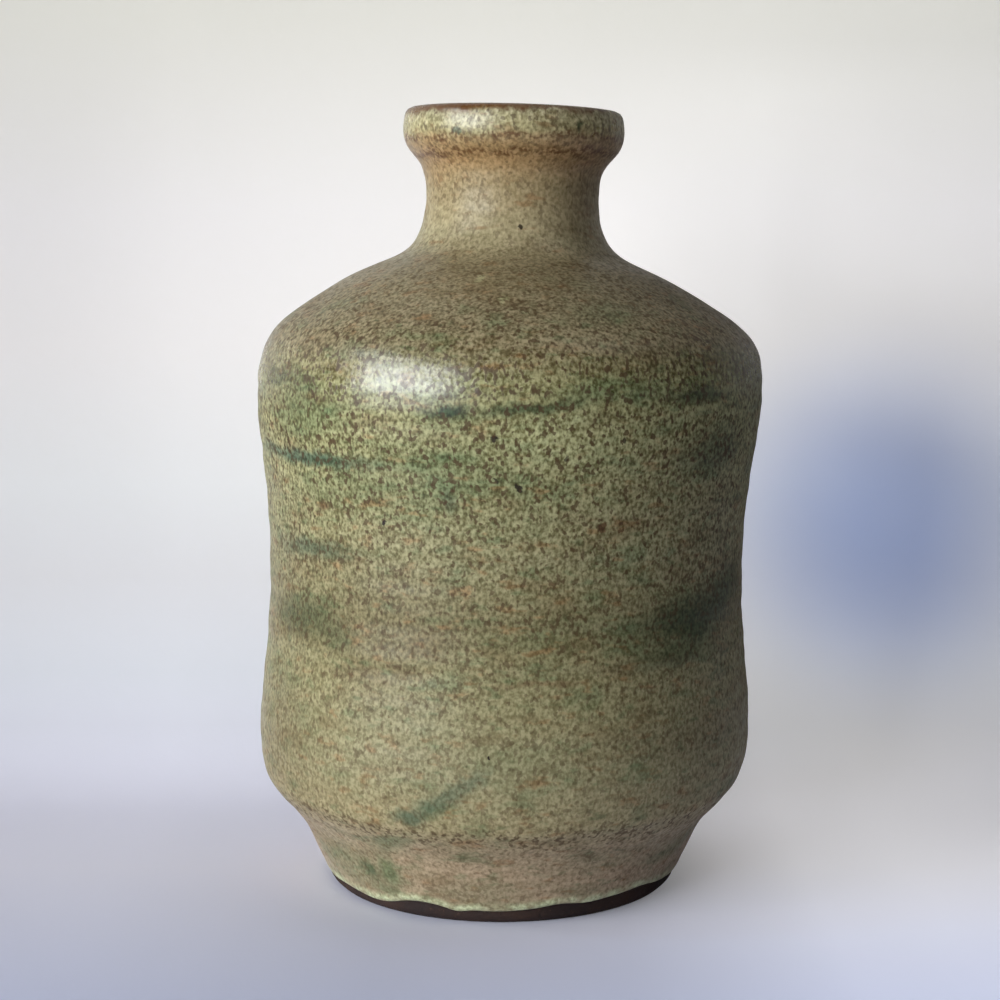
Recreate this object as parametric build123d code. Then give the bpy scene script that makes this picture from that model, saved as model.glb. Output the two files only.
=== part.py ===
from build123d import *
import os

# Sake bottle (tokkuri): a thrown stoneware pot with a glaze coat outside and a glaze lining inside.
# Every piece is a body of revolution about +Z. The origin is the centre of the foot, on the table.
# All sizes are in millimetres, and every outline point is (radius, height).

# Driving dimensions: the glazed outside.
BOTTLE_HEIGHT = 135.0
SHOULDER_RADIUS, SHOULDER_HEIGHT = 44.1, 87.5
WAIST_RADIUS, WAIST_HEIGHT = 41.7, 55.5
BELLY_RADIUS, BELLY_HEIGHT = 43.5, 26.5
CREASE_RADIUS, CREASE_HEIGHT = 35.7, 11.2
NECK_RADIUS, NECK_HEIGHT = 15.0, 120.0
COLLAR_RADIUS, COLLAR_HEIGHT = 19.05, 130.2
LIP_RADIUS = 17.2

# The glaze coats and the glaze's lower edge, just above the foot.
GLAZE = 0.7
GLAZE_EDGE_RADIUS, GLAZE_EDGE_HEIGHT = 31.5, 2.6

# The clay wall and floor, and the ring turned under the floor.
WALL = 4.6
FLOOR = 6.0
FLAT_FLOOR_RADIUS = 20.0
FOOT_RADIUS = 30.9
FOOT_BEVEL = 1.1
RING_WIDTH = 6.4
RECESS_DEPTH = 2.6
RECESS_DRAFT = 1.2

# The way in, at the clay surface. The lining makes it narrower by its own thickness.
THROAT_RADIUS = 11.2
THROAT_BOTTOM, THROAT_TOP = 112.5, 122.5

# The distance between the points that an inset curve is laid through.
STATION_SPACING = 1.0

# Directions of travel along an outline. The foot flares as it rises.
DOWN, INWARD, FLARING = Vector(0, -1), Vector(-1, 0), Vector(0.45, 0.9)


def point(radius, height):
    """A point of an outline, drawn in the sketch plane."""
    return Vector(radius, height)


def smooth(*points, start, end):
    """The smooth curve through the points that sets out and arrives in the given directions."""
    return Spline(*points, tangents=(start, end), tangent_scalars=(1, 1))


def inset(curve, depth):
    """The curve that runs depth to the left of a curve's direction of travel. A line stays a line."""
    straight = curve.geom_type == GeomType.LINE
    steps = 1 if straight else round(curve.length / STATION_SPACING)
    spots = []
    for step in range(steps + 1):
        along = step / steps
        ahead = curve % along
        spots.append(curve @ along + Vector(-ahead.Y, ahead.X) * depth)
    if straight:
        return Line(*spots)
    return smooth(*spots, start=curve % 0, end=curve % 1)


def turned(*edges):
    """The solid that a closed outline sweeps in one turn about the bottle's axis."""
    return revolve(Plane.XZ * make_face(edges), Axis.Z)


def glaze_surface():
    """The outside of the bottle, from the glaze's lower edge up to the crest of the lip."""
    return smooth(
        point(GLAZE_EDGE_RADIUS, GLAZE_EDGE_HEIGHT),
        point(33.7, 7.0),
        point(CREASE_RADIUS, CREASE_HEIGHT),
        point(38.7, 14.9),
        point(41.8, 18.7),
        point(BELLY_RADIUS, BELLY_HEIGHT),
        point(42.6, 40.0),
        point(WAIST_RADIUS, WAIST_HEIGHT),
        point(42.7, 73.0),
        point(SHOULDER_RADIUS, SHOULDER_HEIGHT),
        point(42.5, 95.2),
        point(34.5, 102.2),
        point(28.5, 105.8),
        point(22.2, 108.7),
        point(18.3, 110.8),
        point(16.4, 113.2),
        point(15.4, 116.2),
        point(NECK_RADIUS, NECK_HEIGHT),
        point(16.3, 125.8),
        point(18.2, 128.1),
        point(COLLAR_RADIUS, COLLAR_HEIGHT),
        point(19.0, 133.2),
        point(18.45, 134.6),
        point(LIP_RADIUS, BOTTLE_HEIGHT),
        start=FLARING,
        end=INWARD,
    )


def cavity_surface(lip_crest):
    """The inside of the clay, from the lip down through the throat to the middle of the floor."""
    clay_inside = GLAZE + WALL
    floor_height = RECESS_DEPTH + FLOOR
    throat_top = point(THROAT_RADIUS, THROAT_TOP)
    throat_bottom = point(THROAT_RADIUS, THROAT_BOTTOM)
    wall_foot = point(38.0, 30.0)
    floor_edge = point(FLAT_FLOOR_RADIUS, floor_height)
    return [
        smooth(lip_crest, point(14.9, 132.3), throat_top, start=INWARD, end=DOWN),
        Line(throat_top, throat_bottom),
        smooth(
            throat_bottom,
            point(16.2, 106.3),
            point(31.6, 97.6),
            point(SHOULDER_RADIUS - clay_inside, 86.5),
            point(37.5, 73.0),
            point(WAIST_RADIUS - clay_inside, WAIST_HEIGHT),
            point(37.0, 42.0),
            wall_foot,
            start=DOWN,
            end=DOWN,
        ),
        smooth(wall_foot, floor_edge, start=DOWN, end=INWARD),
        Line(floor_edge, point(0, floor_height)),
    ]


def clay_body(outside, cavity):
    """The thrown pot: wall, lip, throat and floor, on a turned foot ring."""
    ring_inside = FOOT_RADIUS - RING_WIDTH
    underside = Polyline(
        cavity[-1] @ 1,
        point(0, RECESS_DEPTH),
        point(ring_inside - RECESS_DRAFT, RECESS_DEPTH),
        point(ring_inside, 0),
        point(FOOT_RADIUS - FOOT_BEVEL, 0),
        point(FOOT_RADIUS, FOOT_BEVEL),
        outside @ 0,
    )
    return turned(*underside.edges(), outside, *cavity)


def outer_glaze(surface, clay_outside):
    """The coat of glaze between the clay's outside and the bottle's surface."""
    lower_edge = Line(clay_outside @ 0, surface @ 0)
    lip_edge = Line(surface @ 1, clay_outside @ 1)
    return turned(lower_edge, surface, lip_edge, clay_outside)


def inner_glaze(cavity):
    """The lining that makes the pot hold liquid. It meets the outer coat on the crest of the lip."""
    lining = [inset(curve, -GLAZE) for curve in cavity]
    axis_edge = Line(lining[-1] @ 1, cavity[-1] @ 1)
    lip_edge = Line(cavity[0] @ 0, lining[0] @ 0)
    return turned(*lining, axis_edge, *cavity, lip_edge)


surface = glaze_surface()
clay_outside = inset(surface, GLAZE)
cavity = cavity_surface(clay_outside @ 1)
pieces = {
    "clay_body": clay_body(clay_outside, cavity),
    "outer_glaze": outer_glaze(surface, clay_outside),
    "inner_glaze": inner_glaze(cavity),
}

os.makedirs("parts", exist_ok=True)
for name, piece in pieces.items():
    export_step(piece, f"parts/{name}.step")
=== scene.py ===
import math

import bpy
import numpy as np
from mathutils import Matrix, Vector


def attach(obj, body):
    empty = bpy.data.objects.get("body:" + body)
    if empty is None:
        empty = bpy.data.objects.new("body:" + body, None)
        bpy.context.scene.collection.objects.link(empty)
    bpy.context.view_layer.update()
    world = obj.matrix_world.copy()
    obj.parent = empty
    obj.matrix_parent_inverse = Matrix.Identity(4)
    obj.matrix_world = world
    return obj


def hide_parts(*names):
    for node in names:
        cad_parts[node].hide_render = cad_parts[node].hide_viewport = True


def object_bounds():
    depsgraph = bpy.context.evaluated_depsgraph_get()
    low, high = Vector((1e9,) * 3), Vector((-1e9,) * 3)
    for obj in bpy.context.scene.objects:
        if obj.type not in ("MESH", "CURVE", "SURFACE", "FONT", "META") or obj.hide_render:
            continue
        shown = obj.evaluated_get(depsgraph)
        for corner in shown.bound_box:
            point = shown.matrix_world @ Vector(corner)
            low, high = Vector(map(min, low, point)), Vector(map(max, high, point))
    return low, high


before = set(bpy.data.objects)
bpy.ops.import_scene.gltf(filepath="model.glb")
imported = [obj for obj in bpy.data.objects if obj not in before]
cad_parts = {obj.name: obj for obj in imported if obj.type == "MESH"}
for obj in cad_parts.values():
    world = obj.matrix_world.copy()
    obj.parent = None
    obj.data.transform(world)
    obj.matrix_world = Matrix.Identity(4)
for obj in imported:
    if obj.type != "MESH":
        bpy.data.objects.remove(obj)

# A thrown and glazed sake bottle. The visible meshes are turned here from the same outline as the CAD
# and then given what the kiln and the wheel did to the pot: a lean, throwing rings, a wavy glaze edge.
# The tables below are in millimetres and degrees. MM turns a millimetre of them into the frame's metres.

CAD_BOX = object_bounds()
OUTLINE_HEIGHT = 135.0
MM = CAD_BOX[1].z / OUTLINE_HEIGHT
BODY = "root"

# The glaze coats' thickness, and how far they reach into the clay they are fused to.
GLAZE = 0.7
FUSED = 0.06

# The outside of the bottle from the table up to the crest of the lip, as (radius, height).
OUTSIDE = (
    (30.1, 0.0), (31.5, 2.6), (33.7, 7.0), (35.7, 11.2), (38.7, 14.9), (41.8, 18.7), (43.5, 26.5),
    (42.6, 40.0), (41.7, 55.5), (42.7, 73.0), (44.1, 87.5), (42.5, 95.2), (34.5, 102.2),
    (28.5, 105.8), (22.2, 108.7), (18.3, 110.8), (16.4, 113.2), (15.4, 116.2), (15.0, 120.0),
    (16.3, 125.8), (18.2, 128.1), (19.05, 130.2), (19.0, 133.2), (18.45, 134.6), (17.2, 135.0),
)

# The inside of the clay from the crest of the lip down to the floor, as (radius, height).
LIP_TO_THROAT = ((17.2, 134.3), (14.9, 132.3), (11.2, 122.5))
THROAT_BOTTOM = (11.2, 112.5)
THROAT_TO_WALL_FOOT = (
    THROAT_BOTTOM, (16.2, 106.3), (31.6, 97.6), (38.8, 86.5), (37.5, 73.0), (36.4, 55.5),
    (37.0, 42.0), (38.0, 30.0),
)
FLOOR_EDGE = (20.0, 8.6)

# The bare clay below the glaze and the ring turned under the floor, from the outside to the middle.
FOOT_RING = ((30.9, 2.9), (30.9, 1.1), (29.8, 0.0), (24.5, 0.0), (23.3, 2.6), (0.0, 2.6))
ROUNDED_ARRIS = 0.35
FOOT_ROWS = 0.35

DOWN, INWARD, FLARING = (0, -1), (-1, 0), (0.45, 0.9)


def smooth_curve(points, start, end, spacing):
    """Evenly spaced (radius, height) points on the smooth curve through an outline's points."""
    p = np.array(points, float)
    chords = np.linalg.norm(np.diff(p, axis=0), axis=1)
    count = len(p)
    system = np.zeros((count, count))
    known = np.zeros((count, 2))
    system[0, 0] = system[-1, -1] = 1.0
    known[0] = np.array(start) / np.linalg.norm(start)
    known[-1] = np.array(end) / np.linalg.norm(end)
    for i in range(1, count - 1):
        before, after = chords[i - 1], chords[i]
        system[i, i - 1 : i + 2] = after, 2 * (before + after), before
        known[i] = 3 * (after * (p[i] - p[i - 1]) / before + before * (p[i + 1] - p[i]) / after)
    slopes = np.linalg.solve(system, known)
    traced = []
    for i, chord in enumerate(chords):
        t = np.linspace(0, 1, 60, endpoint=False)[:, None]
        traced.append(
            (1 + 2 * t) * (1 - t) ** 2 * p[i]
            + t * (1 - t) ** 2 * chord * slopes[i]
            + t**2 * (3 - 2 * t) * p[i + 1]
            + t**2 * (t - 1) * chord * slopes[i + 1]
        )
    traced.append(p[-1:])
    return respaced(np.vstack(traced), spacing)


def respaced(path, spacing):
    """The same path with evenly spaced points."""
    run = np.concatenate([[0], np.cumsum(np.linalg.norm(np.diff(path, axis=0), axis=1))])
    steps = max(1, round(run[-1] / spacing))
    stations = np.linspace(0, run[-1], steps + 1)
    return np.column_stack([np.interp(stations, run, path[:, k]) for k in range(2)])


def shifted(path, distance):
    """The path moved sideways, to the left of its direction of travel."""
    ahead = np.gradient(path, axis=0)
    ahead /= np.linalg.norm(ahead, axis=1)[:, None]
    return path + np.column_stack([-ahead[:, 1], ahead[:, 0]]) * distance


def softened(points, radius, spacing):
    """A run of straight lines whose corners are rounded off."""
    p = np.array(points, float)
    path = [p[0]]
    for before, corner, after in zip(p, p[1:], p[2:]):
        into = before - corner
        out = after - corner
        reach = min(radius, np.linalg.norm(into) / 2, np.linalg.norm(out) / 2)
        first = corner + into / np.linalg.norm(into) * reach
        last = corner + out / np.linalg.norm(out) * reach
        for t in np.linspace(0, 1, 5):
            path.append((1 - t) ** 2 * first + 2 * t * (1 - t) * corner + t**2 * last)
    path.append(p[-1])
    return respaced(np.array(path), spacing)


def smoothstep(value, low, high):
    """0 below low, 1 above high, and an S-shaped ramp between them."""
    t = np.clip((value - low) / (high - low), 0, 1)
    return t * t * (3 - 2 * t)


# What the wheel and the kiln did to the round shape.

LEAN = 0.0153
NECK_LEAN = 0.0175
LEAN_TOP = 90.0
RIM_TILT = math.radians(1.5)
TILT_FROM, TILT_TO = 87.0, 109.0
OVAL = 0.004
OVAL_ANGLE = math.radians(35)

# Grooves left by fingers and the trimming tool: (height, depth, half-width).
GROOVES = (
    (16.2, 0.16, 1.0), (43.0, 0.13, 1.3), (51.0, 0.10, 2.2), (62.8, 0.12, 1.6),
    (77.8, 0.14, 1.3), (86.8, 0.13, 1.2), (124.8, 0.10, 0.8),
)


def groove_depth(angle, height):
    """How deep the throwing grooves are at a place on the wall. They climb a little, as a spiral does."""
    depth = 0.0
    for number, (level, deep, half_width) in enumerate(GROOVES):
        climb = 0.9 * np.sin(angle + 1.7 * number) + 0.35 * np.sin(2 * angle + number)
        fade = 0.65 + 0.35 * np.sin(angle * 2 + 2.3 * number)
        depth = depth + deep * fade * np.exp(-(((height - level - climb) / half_width) ** 2))
    return depth


# The wall's rings and dents. They fade out towards the foot and the collar.
RING_DEPTH, RING_PITCH = 0.05, 8.6
FINE_RING_DEPTH, FINE_RING_PITCH = 0.025, 3.7
DENT_DEPTH, SMALL_DENT_DEPTH = 0.10, 0.06
FOOT_FADE = (6, 18)
COLLAR_FADE = (120, 130)


def wall_ripple(angle, height):
    """The soft unevenness of a hand-thrown wall, as a change of radius."""
    turn = angle / (2 * math.pi)
    phase = 2 * math.pi * (height / RING_PITCH + turn) + 0.9 * np.sin(height / 13)
    fine_phase = 2 * math.pi * (height / FINE_RING_PITCH + turn) + 1.1 * np.sin(angle + height / 9)
    rings = RING_DEPTH * np.sin(phase) + FINE_RING_DEPTH * np.sin(fine_phase)
    dents = DENT_DEPTH * np.sin(3 * angle + height / 17) * np.sin(height / 21 + 1)
    dents += SMALL_DENT_DEPTH * np.sin(5 * angle - height / 12 + 2)
    on_wall = smoothstep(height, *FOOT_FADE) * (1 - smoothstep(height, *COLLAR_FADE))
    return on_wall * (rings + dents)


def thrown(radius, angle, height):
    """Turns a place on the outline into a point of the leaning, slightly uneven pot, in metres."""
    radius = radius * (1 + OVAL * np.cos(2 * (angle - OVAL_ANGLE)) * smoothstep(height, 0, 30))
    radius = radius + wall_ripple(angle, height) * smoothstep(radius, 3, 12)
    across = radius * np.sin(angle)
    tilt = RIM_TILT * smoothstep(height, TILT_FROM, TILT_TO)
    above = np.maximum(height - LEAN_TOP, 0)
    x = across + LEAN * np.minimum(height, LEAN_TOP) + NECK_LEAN * above
    y = -radius * np.cos(angle)
    z = height - across * tilt
    return np.stack([x, y, z], axis=-1) * MM


# The lower edge of the outer glaze: an even height with rises and dips, as (angle, rise, half-width).

EDGE_HEIGHT = 2.35
EDGE_WAVES = (
    (-70, -0.8, 14), (-43, -1.1, 9), (-24, 0.6, 7), (-14, -0.6, 4), (1, -0.35, 6), (19, 0.6, 8),
    (44, 0.9, 14), (95, 0.7, 8), (121, -0.6, 10), (150, 0.7, 6), (178, -0.5, 12), (-155, 0.6, 8),
    (-128, 0.9, 6), (-104, -0.5, 9),
)


def glaze_edge_height(angle):
    """The height above the table where the outer glaze stops."""
    height = EDGE_HEIGHT + 0.10 * np.sin(9 * angle) + 0.07 * np.sin(23 * angle + 1)
    for middle, rise, half_width in EDGE_WAVES:
        apart = (np.degrees(angle) - middle + 180) % 360 - 180
        height = height + rise * np.exp(-((apart / half_width) ** 2))
    return height


def add_mesh(name, corners, faces):
    """A smooth mesh object in the scene."""
    mesh = bpy.data.meshes.new(name)
    mesh.from_pydata(corners, [], faces)
    mesh.polygons.foreach_set("use_smooth", [True] * len(mesh.polygons))
    mesh.update()
    made = bpy.data.objects.new(name, mesh)
    bpy.context.scene.collection.objects.link(made)
    return made


def lathe(name, radius, angle, height, loop):
    """A mesh turned from rows of points. Rows on the axis close to a single point."""
    rows, columns = radius.shape
    places = thrown(radius, angle, height)
    corners, row_start, poles = [], [], []
    for row in range(rows):
        pole = radius[row].max() < 1e-6
        poles.append(pole)
        row_start.append(len(corners))
        corners.extend(places[row][:1].tolist() if pole else places[row].tolist())
    faces = []
    pairs = [(row, row + 1) for row in range(rows - 1)]
    if loop:
        pairs.append((rows - 1, 0))
    for low, high in pairs:
        for column in range(columns):
            beside = (column + 1) % columns
            a = row_start[low] + (0 if poles[low] else column)
            b = row_start[low] + (0 if poles[low] else beside)
            c = row_start[high] + (0 if poles[high] else beside)
            d = row_start[high] + (0 if poles[high] else column)
            faces.append(tuple(dict.fromkeys((a, b, c, d))))
    return add_mesh(name, corners, faces)


def ring_angles(columns):
    """The angle of each column of a turned mesh. Zero is the front and angles grow to the right."""
    return np.linspace(-math.pi, math.pi, columns, endpoint=False)


def grid(path, columns):
    """A path repeated at every angle: radius, angle and height arrays for lathe."""
    angle = np.tile(ring_angles(columns), (len(path), 1))
    radius = np.tile(path[:, :1], (1, columns))
    height = np.tile(path[:, 1:], (1, columns))
    return radius, angle, height


# The pieces.

OUTER_COLUMNS = 320
INNER_COLUMNS = 160
CLAY_COLUMNS = 240

# Distances between the rows of a mesh: where it shows, where it is hidden, and for measuring.
OUTER_ROWS, INNER_ROWS = 0.64, 0.9
HIDDEN_OUTER_ROWS, HIDDEN_INNER_ROWS, CLAY_ROWS = 4.0, 3.0, 2.0
FINE_STEP, INNER_FINE_STEP = 0.1, 0.3

# The glaze edge's waves die out at this height. Its bead swells the coat just above the edge, and
# the edge itself rolls in to the clay.
WAVES_END = 13.0
BEAD, BEAD_ABOVE, BEAD_SPREAD = 0.20, 1.0, 0.8
ROLL = 0.55
LIP_DEPTH = 4.0


def outside_curve(spacing):
    """The outside of the bottle from the table to the crest of the lip."""
    return smooth_curve(OUTSIDE, FLARING, INWARD, spacing)


def make_outer_glaze():
    """The outer coat: its surface up to the crest of the lip, and back down against the clay."""
    surface = outside_curve(OUTER_ROWS)
    trace = outside_curve(FINE_STEP)
    hidden = shifted(trace, GLAZE + FUSED)[::-1]
    hidden = respaced(hidden[hidden[:, 1] > 0.3], HIDDEN_OUTER_ROWS)
    path = np.vstack([surface, hidden])
    radius, angle, height = grid(path, OUTER_COLUMNS)
    edge = glaze_edge_height(angle)
    height = np.where(height < WAVES_END, edge + height * (WAVES_END - edge) / WAVES_END, height)
    above = height - edge
    on_surface = np.arange(len(path))[:, None] < len(surface)
    face = np.interp(height, trace[:, 1], trace[:, 0])
    bead = BEAD * np.exp(-(((above - BEAD_ABOVE) / BEAD_SPREAD) ** 2)) * (0.7 + 0.3 * np.sin(7 * angle))
    roll = np.clip(1 - above / ROLL, 0, 1)
    rolled_in = (GLAZE + FUSED) * (1 - np.sqrt(1 - roll**2))
    below_lip = height < OUTLINE_HEIGHT - LIP_DEPTH
    surface_radius = np.where(below_lip, face, radius) + bead - rolled_in
    surface_radius -= groove_depth(angle, height)
    low = height < WAVES_END
    hidden_radius = np.where(low, face - GLAZE - FUSED, radius)
    radius = np.where(on_surface, surface_radius, hidden_radius)
    piece = lathe("outer_glaze_coat", radius, angle, height, loop=True)
    store(piece, "edge_distance", np.where(on_surface, above, 0.0))
    return piece


def cavity_curve(spacing):
    """The inside of the clay from the crest of the lip to the middle of the floor."""
    lip = smooth_curve(LIP_TO_THROAT, INWARD, DOWN, spacing)
    throat = respaced(np.array([LIP_TO_THROAT[-1], THROAT_BOTTOM]), spacing)
    wall = smooth_curve(THROAT_TO_WALL_FOOT, DOWN, DOWN, spacing)
    corner = smooth_curve((THROAT_TO_WALL_FOOT[-1], FLOOR_EDGE), DOWN, INWARD, spacing)
    floor = respaced(np.array([FLOOR_EDGE, (0.0, FLOOR_EDGE[1])]), spacing)
    return np.vstack([lip, throat[1:], wall[1:], corner[1:], floor[1:]])


def make_inner_glaze():
    """The lining: its surface from the crest of the lip to the floor, and back up against the clay."""
    surface = shifted(cavity_curve(INNER_ROWS), -GLAZE)
    surface[-1, 0] = 0.0
    hidden = respaced(shifted(cavity_curve(INNER_FINE_STEP), FUSED)[::-1], HIDDEN_INNER_ROWS)
    hidden[0, 0] = 0.0
    path = np.vstack([surface, hidden])
    piece = lathe("inner_glaze_lining", *grid(path, INNER_COLUMNS), loop=True)
    store(piece, "edge_distance", np.full((len(path), INNER_COLUMNS), WAVES_END))
    return piece


def make_clay_body():
    """The clay: bare at the foot and underneath, and covered by the coats everywhere else."""
    covered = shifted(outside_curve(FINE_STEP), GLAZE)
    covered = respaced(covered[covered[:, 1] > FOOT_RING[0][1] + 0.3], CLAY_ROWS)
    cavity = respaced(cavity_curve(INNER_FINE_STEP), CLAY_ROWS)
    foot = softened(FOOT_RING, ROUNDED_ARRIS, FOOT_ROWS)
    path = np.vstack([foot[::-1], covered, cavity[1:]])
    path[-1, 0] = 0.0
    radius, angle, height = grid(path, CLAY_COLUMNS)
    return lathe("clay_pot", radius, angle, height, loop=False)


def store(piece, name, values):
    """Keeps one number per corner of a turned mesh for its material to read."""
    attribute = piece.data.attributes.new(name, "FLOAT", "POINT")
    flat = np.ravel(values)
    full = np.full(len(piece.data.vertices), WAVES_END)
    full[: min(len(flat), len(full))] = flat[: len(full)]
    attribute.data.foreach_set("value", full.astype(np.float32))


# Materials.


def paint(red, green, blue):
    """A colour as the eye sees it, 0 to 255, turned into the linear values a shader needs."""
    linear = []
    for channel in (red, green, blue):
        value = channel / 255
        linear.append(value / 12.92 if value <= 0.04045 else ((value + 0.055) / 1.055) ** 2.4)
    return (*linear, 1.0)


class Shader:
    """A material being wired. Each method adds a node and returns its output."""

    def __init__(self, name):
        self.material = bpy.data.materials.new(name)
        self.material.use_nodes = True
        self.tree = self.material.node_tree
        self.surface = self.tree.nodes["Principled BSDF"]

    def node(self, kind, inputs, **settings):
        made = self.tree.nodes.new("ShaderNode" + kind)
        for setting, value in settings.items():
            setattr(made, setting, value)
        for socket, value in inputs.items():
            self.feed(made.inputs[socket], value)
        return made

    def feed(self, socket, value):
        if isinstance(value, bpy.types.NodeSocket):
            self.tree.links.new(value, socket)
        else:
            socket.default_value = value

    def position(self):
        """The place on the piece, in millimetres."""
        place = self.node("TexCoord", {}).outputs["Object"]
        return self.node("VectorMath", {0: place, "Scale": 1 / MM}, operation="SCALE").outputs[0]

    def split(self, vector):
        return self.node("SeparateXYZ", {0: vector}).outputs

    def math(self, operation, first, second=0.0):
        return self.node("Math", {0: first, 1: second}, operation=operation).outputs[0]

    def shift(self, vector, other):
        return self.node("VectorMath", {0: vector, 1: other}, operation="ADD").outputs[0]

    def stretched(self, vector, factors):
        return self.node("VectorMath", {0: vector, 1: factors}, operation="MULTIPLY").outputs[0]

    def distance(self, vector, middle, reach, turn=(0, 0, 0)):
        """How far a place is from the middle of an ellipsoid: 0 in the middle, 1 on its surface."""
        inputs = {"Vector": vector, "Location": middle, "Rotation": turn, "Scale": reach}
        local = self.node("Mapping", inputs, vector_type="TEXTURE").outputs[0]
        return self.node("VectorMath", {0: local}, operation="LENGTH").outputs["Value"]

    def ramp(self, value, low, high, to_low=0.0, to_high=1.0):
        """An S-shaped ramp from one level to another. low may be above high."""
        flip = low > high
        if flip:
            low, high, to_low, to_high = high, low, to_high, to_low
        inputs = {0: value, 1: low, 2: high, 3: to_low, 4: to_high}
        return self.node("MapRange", inputs, interpolation_type="SMOOTHSTEP").outputs[0]

    def band(self, value, low, high, soft):
        """1 between low and high, fading to 0 over soft on both sides."""
        rising = self.ramp(value, low - soft, low + soft)
        falling = self.ramp(value, high + soft, high - soft)
        return self.math("MULTIPLY", rising, falling)

    def noise(self, place, size, seed, detail=2.0, rough=0.5):
        inputs = {"Vector": place, "W": seed, "Scale": 1 / size, "Detail": detail, "Roughness": rough}
        return self.node("TexNoise", inputs, noise_dimensions="4D")

    def cells(self, place, size, randomness=1.0):
        inputs = {"Vector": place, "Scale": 1 / size, "Randomness": randomness}
        return self.node("TexVoronoi", inputs)

    def mix(self, amount, under, over, how="MIX"):
        made = self.node("Mix", {0: amount}, data_type="RGBA", blend_type=how)
        self.feed(made.inputs[6], under)
        self.feed(made.inputs[7], over)
        return made.outputs[2]

    def zones(self, value, stops):
        """A colour that changes with a value, from a list of (value, colour)."""
        low, high = stops[0][0], stops[-1][0]
        share = self.node("MapRange", {0: value, 1: low, 2: high}).outputs[0]
        ramp = self.node("ValToRGB", {0: share})
        elements = ramp.color_ramp.elements
        elements[0].color = stops[0][1]
        elements[-1].color = stops[-1][1]
        for level, colour in stops[1:-1]:
            elements.new((level - low) / (high - low)).color = colour
        return ramp.outputs[0]

    def levels(self, value, stops):
        """A number that changes with a value, from a list of (value, number)."""
        return self.zones(value, [(at, (level, level, level, 1.0)) for at, level in stops])

    def hide_from_behind(self):
        """Lets light and the camera through the back of the surface."""
        behind = self.node("NewGeometry", {}).outputs["Backfacing"]
        clear = self.node("BsdfTransparent", {}).outputs[0]
        one_sided = self.node("MixShader", {0: behind, 2: clear})
        self.feed(one_sided.inputs[1], self.surface.outputs[0])
        self.feed(self.tree.nodes["Material Output"].inputs["Surface"], one_sided.outputs[0])

    def finish(self, colour, roughness, relief, specular=0.25):
        self.feed(self.surface.inputs["Base Color"], colour)
        self.feed(self.surface.inputs["Roughness"], roughness)
        self.feed(self.surface.inputs["Specular IOR Level"], specular)
        bump = self.node("Bump", {"Height": relief, "Strength": 1.0, "Distance": MM})
        self.feed(self.surface.inputs["Normal"], bump.outputs[0])
        return self.material


# The glaze's ground colour by height, from the foot to the lip.
GROUND = (
    (0, paint(161, 144, 115)),
    (9, paint(165, 144, 116)),
    (14, paint(162, 144, 113)),
    (19, paint(155, 143, 106)),
    (28, paint(146, 139, 104)),
    (42, paint(140, 133, 96)),
    (52, paint(125, 117, 83)),
    (62, paint(139, 133, 97)),
    (80, paint(145, 141, 99)),
    (90, paint(142, 139, 97)),
    (96, paint(130, 119, 89)),
    (108, paint(128, 116, 88)),
    (114, paint(163, 151, 117)),
    (122, paint(158, 140, 103)),
    (126, paint(164, 133, 91)),
    (129, paint(160, 132, 90)),
    (131, paint(172, 162, 118)),
    (134, paint(170, 162, 128)),
    (135, paint(122, 96, 62)),
)

# How strong the fine mottle is, by height, and how it darkens and lightens the ground, by its level.
MOTTLE_STRENGTH = (
    (0, 0.35), (14, 0.45), (28, 0.5), (52, 0.72), (80, 0.95), (98, 0.9), (115, 0.38), (126, 0.45),
    (135, 0.75),
)
MOTTLE = (
    (0.26, (0.25, 0.20, 0.12, 1.0)),
    (0.41, (0.60, 0.56, 0.46, 1.0)),
    (0.50, (0.98, 0.98, 0.97, 1.0)),
    (0.60, (1.38, 1.37, 1.42, 1.0)),
    (0.74, (1.80, 1.80, 1.95, 1.0)),
)

# The flecks run a little taller than wide. Sizes of the mottle's flecks, their clumps, the brown
# specks and the places where those crowd together, and how much clumping and crowding there is.
RUN = (1.0, 1.0, 0.80)
FLECK_SIZE, CLUMP_SIZE, CLUMPING = 0.57, 2.0, 0.30
SPECK_SIZE, CROWD_SIZE, CROWDING = 0.78, 14.0, 0.16

# How glossy the glaze is by height. It is thickest, and shines most, on the shoulder.
GLOSS = (
    (0, 0.2), (20, 0.0), (84, 0.0), (88, 0.5), (91, 1.0), (94, 0.9), (98, 0.2), (104, 0.1),
    (112, 0.3), (122, 0.1), (135, 0.7),
)

SATIN_LOW, SATIN_HIGH = 0.36, 0.46
GLOSS_SMOOTHS = 0.19
DULL_SPECULAR, GLOSSY_SPECULAR = 0.25, 0.75

BROWN_SPECK = paint(72, 50, 27)
PALE_FLECK = paint(160, 158, 118)
BROWN_PATCH = paint(104, 86, 54)
GREEN_POOL = paint(86, 104, 68)
TEAL_POOL = paint(64, 86, 66)
DEEP_GREEN = paint(46, 62, 34)
IRON = paint(38, 27, 20)
RUST = paint(92, 60, 34)
BROWN_BREAK = paint(92, 55, 25)
RUST_TINT = paint(134, 96, 58)
ASH = paint(158, 158, 114)
BEAD_CREAM = paint(192, 198, 158)

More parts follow.
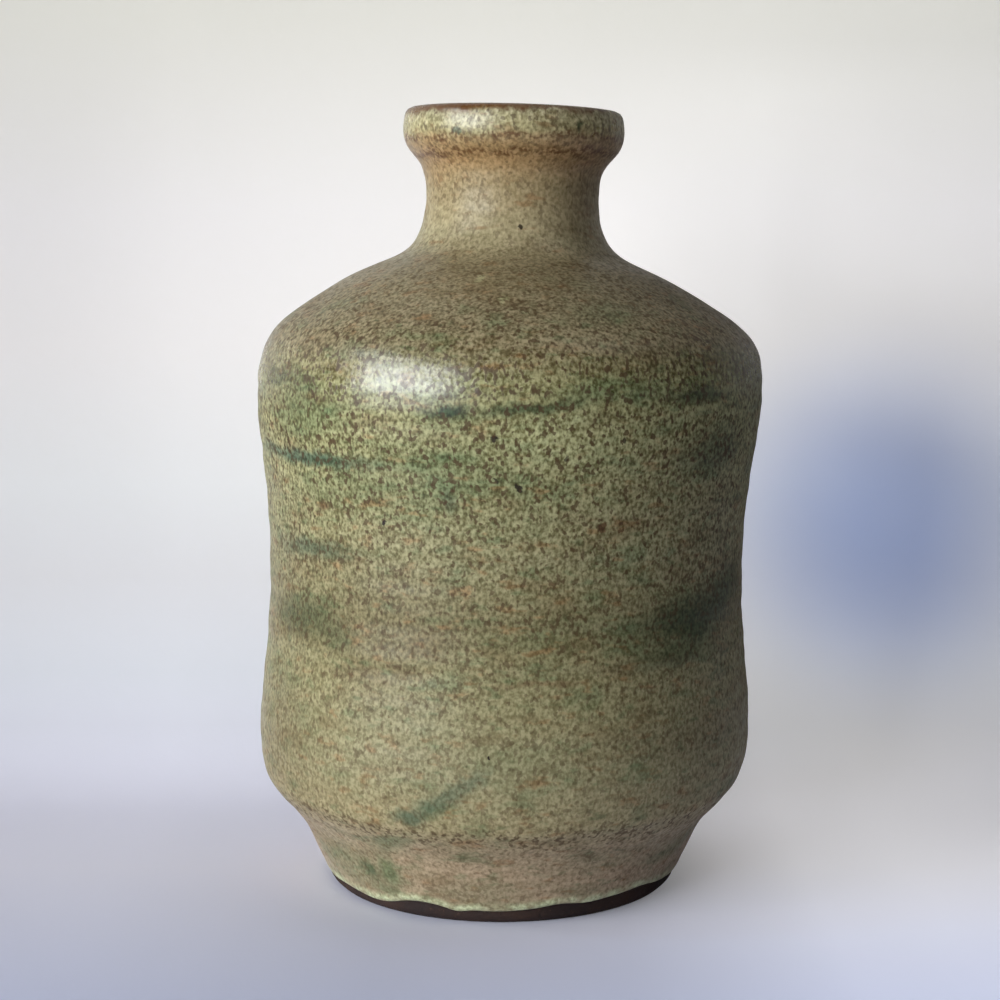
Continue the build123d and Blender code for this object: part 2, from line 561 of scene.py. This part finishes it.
# Clouds, patches and tints, drawn out along the throwing lines: (noise size, seed, detail, roughness,
# two tints). A tint is (colour, noise level where it starts, level where it is full, strength).
# Little of the green gets onto the neck.
DRAWN_OUT = (0.8, 0.8, 2.0)
CLOUDS = (
    (26.0, 3.0, 4.0, 0.55, ((GREEN_POOL, 0.52, 0.72, 0.50), (BROWN_PATCH, 0.48, 0.28, 0.35))),
    (7.0, 13.0, 2.0, 0.50, ((GREEN_POOL, 0.54, 0.70, 0.42), (BROWN_PATCH, 0.46, 0.30, 0.42))),
    (2.8, 15.0, 2.0, 0.55, ((RUST_TINT, 0.56, 0.72, 0.50), (GREEN_POOL, 0.44, 0.28, 0.45))),
)
NECK_ROOT = (98.0, 108.0)
GREEN_ON_NECK = 0.2

# Coarse and fine nudges that make a boundary uneven: (noise size, seed, reach).
NUDGES = ((6.0, 1.0, 3.2), (1.3, 2.0, 2.2))

# Brown breaks where the glaze thins: over the lip, along the collar's lower arris and its root, as
# (low, high, softness, cover over pale flecks), and brown specks along the crease above the foot, which
# also paint shade into it.
LIP_BREAK = (133.2, 134.6)
COLLAR_BREAKS = ((129.4, 130.0, 0.5, 0.35), (126.8, 127.6, 0.6, 0.25))
CREASE_SPECKS_AND_SHADE = (15.6, 19.2, 1.8)
WANDER = 4.0

# Relief: a soft orange peel, raised specks and a few pinholes.
PEEL_SIZE, PEEL_HEIGHT = 2.2, 0.07
SPECK_HEIGHT = 0.035
PINHOLE_SPACING, PINHOLE_DEPTH = 7.0, 0.06

# Marks the glaze took in the kiln: (colour, angle, height, half-width, half-height, rise in degrees,
# strength).
MARKS = (
    (DEEP_GREEN, -12.5, 86.2, 4.5, 1.3, 7, 1.0),
    (DEEP_GREEN, 5.0, 87.0, 9.5, 1.3, 5, 1.0),
    (DEEP_GREEN, 7.0, 84.2, 0.9, 2.8, 0, 0.45),
    (TEAL_POOL, -50, 77.6, 20.0, 1.6, 0, 0.85),
    (TEAL_POOL, -13, 72.4, 1.6, 2.4, 0, 0.45),
    (TEAL_POOL, -50, 62.5, 14.0, 2.0, 0, 0.62),
    (DEEP_GREEN, -54, 50.6, 12.0, 4.0, 0, 0.62),
    (DEEP_GREEN, -40, 48.4, 4.5, 3.0, 12, 0.35),
    (DEEP_GREEN, -58, 90.6, 10.0, 2.0, 0, 0.55),
    (GREEN_POOL, -50, 84.5, 12.0, 5.5, 0, 0.50),
    (ASH, 9, 82.5, 12.0, 5.5, 0, 0.55),
    (BROWN_PATCH, -26, 53.0, 14.0, 8.0, 0, 0.22),
    (GREEN_POOL, 22, 89.5, 12.0, 2.2, 0, 0.60),
    (TEAL_POOL, -21, 20.4, 3.4, 1.6, 12, 0.70),
    (TEAL_POOL, -14, 24.4, 9.0, 1.9, 31, 0.62),
    (TEAL_POOL, -6, 28.4, 3.0, 1.6, 35, 0.35),
    (DEEP_GREEN, -41, 8.0, 2.6, 1.7, -35, 0.80),
    (GREEN_POOL, -33, 8.6, 2.8, 4.4, 0, 0.75),
    (GREEN_POOL, -30, 14.5, 5.0, 2.2, 15, 0.50),
    (GREEN_POOL, -36, 4.6, 4.0, 1.4, -10, 0.50),
    (GREEN_POOL, -48, 8.0, 12.0, 6.0, 0, 0.45),
    (BROWN_PATCH, -62, 28.0, 16.0, 16.0, 0, 0.30),
    (DEEP_GREEN, 48, 51.5, 16.0, 4.8, 7, 0.78),
    (DEEP_GREEN, 40, 45.5, 12.0, 2.2, 3, 0.50),
    (DEEP_GREEN, 62, 56.0, 8.0, 4.0, 8, 0.60),
    (DEEP_GREEN, 44, 88.0, 10.0, 1.7, 2, 0.75),
    (DEEP_GREEN, 50, 78.5, 11.0, 4.5, 6, 0.62),
    (RUST, 8, 43.2, 9.0, 0.6, 2, 0.45),
    (IRON, -3, 82.1, 0.62, 0.62, 0, 0.95),
    (IRON, 2, 74.5, 0.52, 0.52, 0, 0.9),
    (IRON, -3, 75.7, 0.36, 0.45, 0, 0.8),
    (RUST, 21, 67.5, 0.8, 0.7, 0, 0.8),
    (IRON, 24, 81.3, 0.5, 0.5, 0, 0.8),
    (IRON, 11, 79.0, 0.5, 0.5, 0, 0.8),
    (IRON, -28, 68.0, 0.4, 0.4, 0, 1.0),
    (RUST, -46, 70.0, 2.0, 0.8, 0, 0.7),
    (IRON, -4, 31.3, 0.35, 0.35, 0, 1.0),
    (IRON, 6, 114.7, 0.55, 0.5, 0, 0.9),
    (PALE_FLECK, -3, 103.6, 1.1, 0.8, 20, 0.8),
    (PALE_FLECK, -11, 106.1, 0.9, 0.5, 0, 0.5),
    (PALE_FLECK, 58, 25.2, 1.4, 1.2, 0, 0.5),
    (TEAL_POOL, -30, 130.6, 0.9, 0.8, 0, 0.7),
    (DEEP_GREEN, 35, 131.3, 0.7, 1.2, 0, 0.85),
    (TEAL_POOL, 112, 84.0, 14.0, 1.4, 4, 0.6),
    (DEEP_GREEN, 140, 60.0, 12.0, 3.0, -5, 0.5),
    (TEAL_POOL, 170, 77.0, 13.0, 1.2, 2, 0.6),
    (DEEP_GREEN, -150, 87.0, 9.0, 0.8, 4, 0.8),
    (GREEN_POOL, -120, 49.0, 12.0, 3.0, 4, 0.5),
    (TEAL_POOL, 128, 22.0, 2.4, 1.6, 0, 0.6),
    (TEAL_POOL, -100, 24.0, 2.6, 1.5, 10, 0.6),
    (IRON, 92, 70.0, 0.7, 0.7, 0, 0.9),
    (IRON, 131, 45.0, 0.6, 0.6, 0, 0.9),
    (IRON, 176, 66.0, 0.7, 0.6, 0, 0.9),
    (IRON, -132, 73.0, 0.7, 0.7, 0, 0.9),
    (IRON, -98, 58.0, 0.5, 0.5, 0, 0.9),
    (RUST, -160, 43.0, 9.0, 0.6, 1, 0.45),
)


def surface_point(angle, height):
    """The point of the bottle's outside at an angle in degrees and a height, in millimetres."""
    trace = outside_curve(0.5)
    radius = np.interp(height, trace[:, 1], trace[:, 0])
    return Vector(thrown(radius, math.radians(angle), height).tolist()) / MM


def add_marks(shader, place, colour):
    """Paints each mark over the ground with a soft, uneven outline."""
    for paint_colour, angle, height, half_width, half_height, rise, strength in MARKS:
        depth = max(half_width, half_height, 3.0)
        turn = (0, math.radians(-rise), math.radians(angle))
        reach = (half_width, depth, half_height)
        away = shader.distance(place, surface_point(angle, height), reach, turn)
        small = max(half_width, half_height) < 1
        inner, outer = (0.75, 1.2) if small else (0.2, 1.3)
        cover = shader.ramp(away, outer, inner, 0.0, strength)
        colour = shader.mix(cover, colour, paint_colour)
    return colour


def uneven_place(shader, place):
    """The place, nudged by coarse and fine noise. A boundary drawn there comes out uneven."""
    uneven = place
    for size, seed, reach in NUDGES:
        noise = shader.noise(place, size, seed).outputs["Color"]
        nudge = shader.stretched(shader.shift(noise, (-0.5, -0.5, -0.5)), (reach, reach, reach))
        uneven = shader.shift(uneven, nudge)
    return uneven


def add_clouds(shader, drawn_out, height, colour):
    """Tints the ground with broad clouds, smaller patches and fine tints."""
    green_share = shader.ramp(height, *NECK_ROOT, 1.0, GREEN_ON_NECK)
    for size, seed, detail, rough, tints in CLOUDS:
        cloud = shader.noise(drawn_out, size, seed, detail, rough).outputs[0]
        for tint, start, full, strength in tints:
            cover = shader.ramp(cloud, start, full, 0, strength)
            if tint is GREEN_POOL:
                cover = shader.math("MULTIPLY", cover, green_share)
            colour = shader.mix(cover, colour, tint)
    return colour


def flecks(shader, place, drawn_out):
    """The level of the fine mottle, of the specks, and of the specks with their crowding."""
    run = shader.stretched(place, RUN)
    mottle = shader.noise(run, FLECK_SIZE, 4.0, detail=1.5).outputs[0]
    clump = shader.math("SUBTRACT", shader.noise(drawn_out, CLUMP_SIZE, 14.0).outputs[0], 0.5)
    mottle = shader.math("ADD", mottle, shader.math("MULTIPLY", clump, CLUMPING))
    speck = shader.noise(run, SPECK_SIZE, 6.0, detail=1.0).outputs[0]
    crowd = shader.noise(drawn_out, CROWD_SIZE, 5.0).outputs[0]
    crowded = shader.math("ADD", speck, shader.math("MULTIPLY", crowd, CROWDING))
    return mottle, speck, crowded


def add_breaks(shader, level, mottle, speck, colour):
    """Turns the coat brown where it thins over an edge, and darkens the crease above the foot with
    specks, partly as painted shade.
    """
    colour = shader.mix(shader.ramp(level, *LIP_BREAK, 0, 0.85), colour, BROWN_BREAK)
    for low, high, soft, least in COLLAR_BREAKS:
        edge = shader.band(level, low, high, soft)
        cover = shader.math("MULTIPLY", edge, shader.ramp(mottle, 0.62, 0.44, least, 0.90))
        colour = shader.mix(cover, colour, BROWN_BREAK)
    # Brown specks along the crease above the foot, partly painted shade in the crease.
    crease = shader.band(level, *CREASE_SPECKS_AND_SHADE)
    specks = shader.math("MULTIPLY", crease, shader.ramp(speck, 0.49, 0.62, 0, 0.62))
    return shader.mix(specks, colour, BROWN_SPECK)


def glaze_relief(shader, place, uneven, speck):
    """The coat's fine relief, in millimetres."""
    peel = shader.noise(place, PEEL_SIZE, 8.0, detail=3.0).outputs[0]
    relief = shader.math("MULTIPLY", peel, PEEL_HEIGHT)
    relief = shader.math("ADD", relief, shader.math("MULTIPLY", speck, SPECK_HEIGHT))
    holes = shader.cells(uneven, PINHOLE_SPACING).outputs["Distance"]
    return shader.math("SUBTRACT", relief, shader.ramp(holes, 0.045, 0.02, 0, PINHOLE_DEPTH))


def glaze_gloss(shader, place, height, crowded):
    """The coat's roughness and specular level. Specks dull it and thick glaze shines."""
    shine = shader.noise(place, 9.0, 9.0, detail=3.0).outputs[0]
    roughness = shader.ramp(shine, 0.3, 0.7, SATIN_LOW, SATIN_HIGH)
    roughness = shader.math("ADD", roughness, shader.ramp(crowded, 0.56, 0.70, 0, 0.12))
    thick = shader.levels(height, GLOSS)
    roughness = shader.math("SUBTRACT", roughness, shader.math("MULTIPLY", thick, GLOSS_SMOOTHS))
    specular = shader.ramp(thick, 0.0, 1.0, DULL_SPECULAR, GLOSSY_SPECULAR)
    return roughness, specular


def glaze_material(name, marks):
    """A speckled ash glaze, brown where it thins over an edge and green where it pools."""
    shader = Shader(name)
    place = shader.position()
    height = shader.split(place)[2]
    uneven = uneven_place(shader, place)
    drawn_out = shader.stretched(place, DRAWN_OUT)
    colour = shader.zones(shader.split(uneven)[2], GROUND)
    colour = add_clouds(shader, drawn_out, height, colour)
    if marks:
        colour = add_marks(shader, uneven, colour)

    # The lower edge of the coat: a pale, broken bead where the glaze gathered as it ran.
    wander = shader.noise(place, 2.4, 7.0, detail=3.0).outputs[0]
    edge = shader.node("Attribute", {}, attribute_name="edge_distance").outputs["Fac"]
    gathered = shader.ramp(wander, 0.38, 0.60, 0.30, 0.95)
    bead = shader.math("MULTIPLY", shader.ramp(edge, 2.3, 1.0), gathered)
    colour = shader.mix(bead, colour, BEAD_CREAM)

    # Fine mottle of pale and dark flecks, and scattered brown specks.
    mottle, speck, crowded = flecks(shader, place, drawn_out)
    strength = shader.levels(height, MOTTLE_STRENGTH)
    colour = shader.mix(strength, colour, shader.zones(mottle, MOTTLE), "MULTIPLY")
    speckled = shader.math("MULTIPLY", shader.ramp(crowded, 0.635, 0.73, 0, 0.85), strength)
    colour = shader.mix(speckled, colour, BROWN_SPECK)

    spread = shader.math("MULTIPLY", shader.math("SUBTRACT", wander, 0.5), WANDER)
    level = shader.math("ADD", height, spread)
    colour = add_breaks(shader, level, mottle, speck, colour)

    # A thin dark line where the coat meets the clay.
    colour = shader.mix(shader.ramp(edge, 0.5, 0.15, 0, 0.8), colour, IRON)

    roughness, specular = glaze_gloss(shader, place, height, crowded)
    return shader.finish(colour, roughness, glaze_relief(shader, place, uneven, speck), specular)


CLAY_COOL, CLAY_WARM = paint(44, 33, 31), paint(60, 43, 36)
GROG_PALE, GROG_DARK = paint(92, 70, 58), paint(24, 18, 18)
GROG_SIZE, GROG_HEIGHT = 0.9, 0.22
LINES_PER_MM, LINE_HEIGHT = 5.2 / (2 * math.pi), 0.03


def clay_material():
    """Iron-rich stoneware fired dark, with grog and the tool's turning lines."""
    shader = Shader("bare_clay")
    place = shader.position()
    x, y, _ = shader.split(place)
    grog = shader.noise(place, GROG_SIZE, 11.0, detail=4.0, rough=0.65).outputs[0]
    patch = shader.noise(place, 9.0, 12.0, detail=3.0).outputs[0]
    colour = shader.mix(shader.ramp(patch, 0.35, 0.65), CLAY_COOL, CLAY_WARM)
    colour = shader.mix(shader.ramp(grog, 0.55, 0.75, 0, 0.6), colour, GROG_PALE)
    colour = shader.mix(shader.ramp(grog, 0.45, 0.28, 0, 0.7), colour, GROG_DARK)
    flat = shader.node("CombineXYZ", {0: x, 1: y, 2: 0.0}).outputs[0]
    radius = shader.node("VectorMath", {0: flat}, operation="LENGTH").outputs["Value"]
    turns = shader.math("MULTIPLY", radius, 2 * math.pi * LINES_PER_MM)
    phase = shader.math("ADD", turns, shader.math("MULTIPLY", patch, 3.0))
    lines = shader.math("MULTIPLY", shader.math("SINE", phase), LINE_HEIGHT)
    relief = shader.math("ADD", lines, shader.math("MULTIPLY", grog, GROG_HEIGHT))
    roughness = shader.ramp(grog, 0.3, 0.7, 0.72, 0.9)
    return shader.finish(colour, roughness, relief)


# The studio.

FLOOR_REACH = 1.6
SHEET_FLAT_END = 0.031
BEND_LENGTH = 0.085
BEND_STEPS = 60
WALL_TOP = 0.9

# The paper: a matt sheet with a fine tooth. Its tone changes by height as painted light, bluish on the
# table as under skylight and warmer up the wall; it darkens towards the camera as painted shade, and off
# to the sides as a painted falloff of the light.
PAPER_ROUGHNESS = 0.85
TOOTH_SIZE, TOOTH_HEIGHT = 0.8, 0.02
PAPER_TONE_AND_PAINTED_SKYLIGHT = (
    (0, paint(232, 231, 247)),
    (10, paint(217, 217, 228)),
    (20, paint(213, 214, 221)),
    (40, paint(217, 215, 217)),
    (60, paint(225, 224, 224)),
    (90, paint(231, 226, 224)),
    (120, paint(231, 226, 224)),
    (160, paint(226, 222, 212)),
)
# Painted shade: the table darkens and turns bluer towards the camera, most just in front of the bottle.
PAPER_NEAR_PAINTED_SHADE = (
    (-420, (0.74, 0.75, 0.79, 1.0)), (-90, (0.73, 0.80, 0.96, 1.0)), (0, (1.0, 1.0, 1.0, 1.0)),
)
# Painted falloff of the light: the paper darkens off to the sides, away from the bottle.
PAPER_PAINTED_FALLOFF = ((-500, 0.35), (-220, 0.70), (-108, 0.90), (-70, 1.0), (130, 1.0), (500, 0.6))

# Painted light on the sheet: an emission seen only by the camera, which lights nothing else. It grows
# away from the window, weakens high up, leaves the middle of the bottle's shadow dark with a painted
# bluish shade, and makes a painted halo behind the neck.
PAINTED_LIGHT_STRENGTH = 0.37
GLOW_COLOUR = (1.0, 0.99, 0.97, 1.0)
TABLE_GLOW_COLOUR = (0.92, 0.98, 1.22, 1.0)
TABLE_GLOW_FROM_TO = (10.0, -80.0)
GLOW_ACROSS = ((-20, 0.0), (20, 0.3), (55, 0.95), (75, 1.0), (95, 0.88), (115, 0.65), (260, 0.1))
GLOW_NEAR = ((-260, 0.1), (-90, 0.75), (0, 1.0))
GLOW_UP = ((0, 1.0), (10, 0.95), (25, 1.0), (45, 0.92), (75, 0.85), (105, 0.8), (155, 0.25))
# The painted shade: a bluish tint and a weaker glow in the middle of the bottle's shadow.
SHADE_COLOUR = (0.46, 0.68, 1.30, 1.0)
SHADE_GLOW = 0.72
SHADE_MIDDLE = (86.5, 76.0, 53.0)
SHADE_REACH = (33.0, 200.0, 29.0)
# A painted halo of light on the sheet behind the neck.
HALO = 0.20
HALO_MIDDLE = (0.0, 80.0, 100.0)
HALO_REACH = (104.0, 400.0, 104.0)

# The room beyond the sheet is dark on the right, so less light comes back from that side. It weakens
# across these places, least low on the table and most up the wall.
BOUNCE_WEAKENS = (0.0, 60.0)
BOUNCE_CHANGES = (2.0, 30.0)
BOUNCE_WALL, BOUNCE_TABLE = 0.45, 1.0

# The table behind the sheet lies a hair below it. It has painted light: it glows for the camera alone.
TABLE_GAP = 0.0002
TABLE_TONE = paint(214, 214, 224)
TABLE_PAINTED_LIGHT = 0.42


def sheet_profile():
    """The sheet from the side, as (y, z). The bend eases in and out, so that it shows no line."""
    y, z = SHEET_FLAT_END, 0.0
    profile = [(-FLOOR_REACH, 0.0), (y, z)]
    for step in range(BEND_STEPS):
        slope = math.pi / 2 * smoothstep((step + 0.5) / BEND_STEPS, 0, 1)
        y += math.cos(slope) * BEND_LENGTH / BEND_STEPS
        z += math.sin(slope) * BEND_LENGTH / BEND_STEPS
        profile.append((y, z))
    profile.append((y, WALL_TOP))
    return profile


def paper_tooth(shader, place):
    """The paper's fine grain, in millimetres."""
    tooth = shader.noise(place, TOOTH_SIZE, 21.0).outputs[0]
    return shader.math("MULTIPLY", tooth, TOOTH_HEIGHT)


def add_painted_light(shader, place, seen):
    """Paints light and shade on the sheet for the camera alone, as an emission that lights nothing else.
    """
    across, back, height = shader.split(place)
    outside_painted_shade = shader.ramp(shader.distance(place, SHADE_MIDDLE, SHADE_REACH), 0.1, 1.7)
    painted_light = shader.math("MULTIPLY", shader.levels(across, GLOW_ACROSS), shader.levels(height, GLOW_UP))
    painted_light = shader.math("MULTIPLY", painted_light, shader.ramp(outside_painted_shade, 0.0, 1.0, SHADE_GLOW * PAINTED_LIGHT_STRENGTH, PAINTED_LIGHT_STRENGTH))
    painted_light = shader.math("MULTIPLY", painted_light, shader.levels(back, GLOW_NEAR))
    painted_halo = shader.ramp(shader.distance(place, HALO_MIDDLE, HALO_REACH), 1.0, 0.12, 0.0, HALO)
    painted_light = shader.math("MULTIPLY", shader.math("ADD", painted_light, painted_halo), seen)
    tint = shader.mix(shader.ramp(back, *TABLE_GLOW_FROM_TO), GLOW_COLOUR, TABLE_GLOW_COLOUR)
    tint = shader.mix(outside_painted_shade, SHADE_COLOUR, tint)
    shader.feed(shader.surface.inputs["Emission Strength"], painted_light)
    shader.feed(shader.surface.inputs["Emission Color"], tint)


def paper_material():
    """Pale paper with painted light and shade for the camera, and clear from behind."""
    shader = Shader("pale_paper")
    place = shader.position()
    across, back, height = shader.split(place)
    colour = shader.zones(height, PAPER_TONE_AND_PAINTED_SKYLIGHT)
    colour = shader.mix(1.0, colour, shader.zones(back, PAPER_NEAR_PAINTED_SHADE), "MULTIPLY")
    colour = shader.mix(1.0, colour, shader.levels(across, PAPER_PAINTED_FALLOFF), "MULTIPLY")
    seen = shader.node("LightPath", {}).outputs["Is Camera Ray"]
    weakest = shader.ramp(height, *BOUNCE_CHANGES, BOUNCE_TABLE, BOUNCE_WALL)
    returned = shader.ramp(across, *BOUNCE_WEAKENS, 1.0, weakest)
    colour = shader.mix(1.0, colour, shader.math("MAXIMUM", returned, seen), "MULTIPLY")
    shader.finish(colour, PAPER_ROUGHNESS, paper_tooth(shader, place))
    add_painted_light(shader, place, seen)
    shader.hide_from_behind()
    return shader.material


def make_sheet():
    """A pale sheet the bottle stands on, which bends up close behind it. From behind it isn't seen."""
    profile = sheet_profile()
    corners, faces = [], []
    for y, z in profile:
        corners.extend([(-FLOOR_REACH, y, z), (FLOOR_REACH, y, z)])
    for step in range(len(profile) - 1):
        first = 2 * step
        faces.append((first, first + 1, first + 3, first + 2))
    sheet = add_mesh("sheet", corners, faces)
    sheet.data.materials.append(paper_material())


def make_table_behind():
    """The table goes on under the bend and behind the sheet, for a view from behind."""
    corners = []
    for x, y in ((-1, 0), (1, 0), (1, 1), (-1, 1)):
        corners.append((x * FLOOR_REACH, FLOOR_REACH if y else SHEET_FLAT_END, -TABLE_GAP))
    table = add_mesh("table_behind", corners, [(0, 1, 2, 3)])
    shader = Shader("pale_table")
    shader.finish(TABLE_TONE, PAPER_ROUGHNESS, paper_tooth(shader, shader.position()))
    # Painted light: the table glows for the camera alone, as if the lamps reached it.
    seen = shader.node("LightPath", {}).outputs["Is Camera Ray"]
    shader.feed(shader.surface.inputs["Emission Strength"], shader.math("MULTIPLY", seen, TABLE_PAINTED_LIGHT))
    shader.feed(shader.surface.inputs["Emission Color"], TABLE_TONE)
    table.data.materials.append(shader.material)


# Softboxes: (name, azimuth, elevation, width, height, watts, colour). Azimuth 0 is the camera's
# side, and minus is left.
LIGHT_DISTANCE = 1.6
LIGHTS = (
    ("window", -48.5, 10, 1.3, 0.7, 29.3, (0.965, 1.0, 1.01)),
    ("window_top", -61, 31, 0.55, 0.12, 3.2, (1.0, 0.98, 0.94)),
    ("skylight", -77, 37, 0.2, 0.14, 1.8, (0.70, 0.88, 1.0)),
    ("warm_room", 15, 12, 1.2, 1.2, 0.6, (1.0, 0.80, 0.55)),
    ("room_behind", 180, 10, 1.4, 0.9, 4.0, (0.96, 0.98, 1.0)),
    ("ceiling", 80, 66, 0.9, 0.9, 2.5, (1.0, 0.93, 0.84)),
)


def add_light(name, azimuth, elevation, width, height, watts, colour):
    """A softbox that looks at the bottle's middle."""
    target = Vector((0, 0, CAD_BOX[1].z * 0.5))
    a, e = math.radians(azimuth), math.radians(elevation)
    away = Vector((math.sin(a) * math.cos(e), -math.cos(a) * math.cos(e), math.sin(e)))
    data = bpy.data.lights.new(name, "AREA")
    data.shape = "RECTANGLE"
    data.size, data.size_y = width, height
    data.energy = watts
    data.color = colour
    light = bpy.data.objects.new(name, data)
    light.location = target + away * LIGHT_DISTANCE
    light.rotation_mode = "QUATERNION"
    light.rotation_quaternion = (-away).to_track_quat("-Z", "Y")
    light.visible_camera = False
    bpy.context.scene.collection.objects.link(light)


AIR_LIGHT = (0.58, 0.68, 0.86, 1.0)
AIR_STRENGTH = 0.042
AIR_SEEN = (0.72, 0.74, 0.78, 1.0)


def make_world():
    """Faint bluish light from all around. What the camera sees past the sheet is as pale as the sheet."""
    world = bpy.data.worlds.new("studio_air")
    bpy.context.scene.world = world
    world.use_nodes = True
    tree = world.node_tree
    ambient = tree.nodes["Background"]
    ambient.inputs["Color"].default_value = AIR_LIGHT
    ambient.inputs["Strength"].default_value = AIR_STRENGTH
    seen = tree.nodes.new("ShaderNodeBackground")
    seen.inputs["Color"].default_value = AIR_SEEN
    ray = tree.nodes.new("ShaderNodeLightPath")
    chosen = tree.nodes.new("ShaderNodeMixShader")
    tree.links.new(ray.outputs["Is Camera Ray"], chosen.inputs[0])
    tree.links.new(ambient.outputs[0], chosen.inputs[1])
    tree.links.new(seen.outputs[0], chosen.inputs[2])
    tree.links.new(chosen.outputs[0], tree.nodes["World Output"].inputs["Surface"])


# The camera stands a little above the middle of the bottle and looks slightly down, as one would
# across a table. Distances are in bottle heights.
CAMERA_AWAY = 2.592
CAMERA_HEIGHT = 0.8224
CAMERA_SIDE = -0.0021
CAMERA_PITCH = 7.15
LENS = 71.7


def make_camera():
    """Makes the scene's camera."""
    data = bpy.data.cameras.new("camera")
    data.lens = LENS
    data.sensor_width = 36.0
    data.clip_start = 0.01
    camera = bpy.data.objects.new("camera", data)
    size = CAD_BOX[1].z
    camera.location = (CAMERA_SIDE * size, -CAMERA_AWAY * size, CAMERA_HEIGHT * size)
    camera.rotation_euler = (math.radians(90 - CAMERA_PITCH), 0, 0)
    bpy.context.scene.collection.objects.link(camera)
    bpy.context.scene.camera = camera


def place_piece(piece, node, material):
    """Gives a piece its material and its place in the frame, and hides the CAD node it stands for."""
    piece.data.materials.append(material)
    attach(piece, BODY)
    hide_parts(node)


place_piece(make_outer_glaze(), "outer_glaze", glaze_material("ash_glaze", True))
place_piece(make_inner_glaze(), "inner_glaze", glaze_material("ash_glaze_lining", False))
place_piece(make_clay_body(), "clay_body", clay_material())

make_sheet()
make_table_behind()
make_world()
for softbox in LIGHTS:
    add_light(*softbox)
make_camera()
bpy.context.scene.view_settings.view_transform = "Standard"
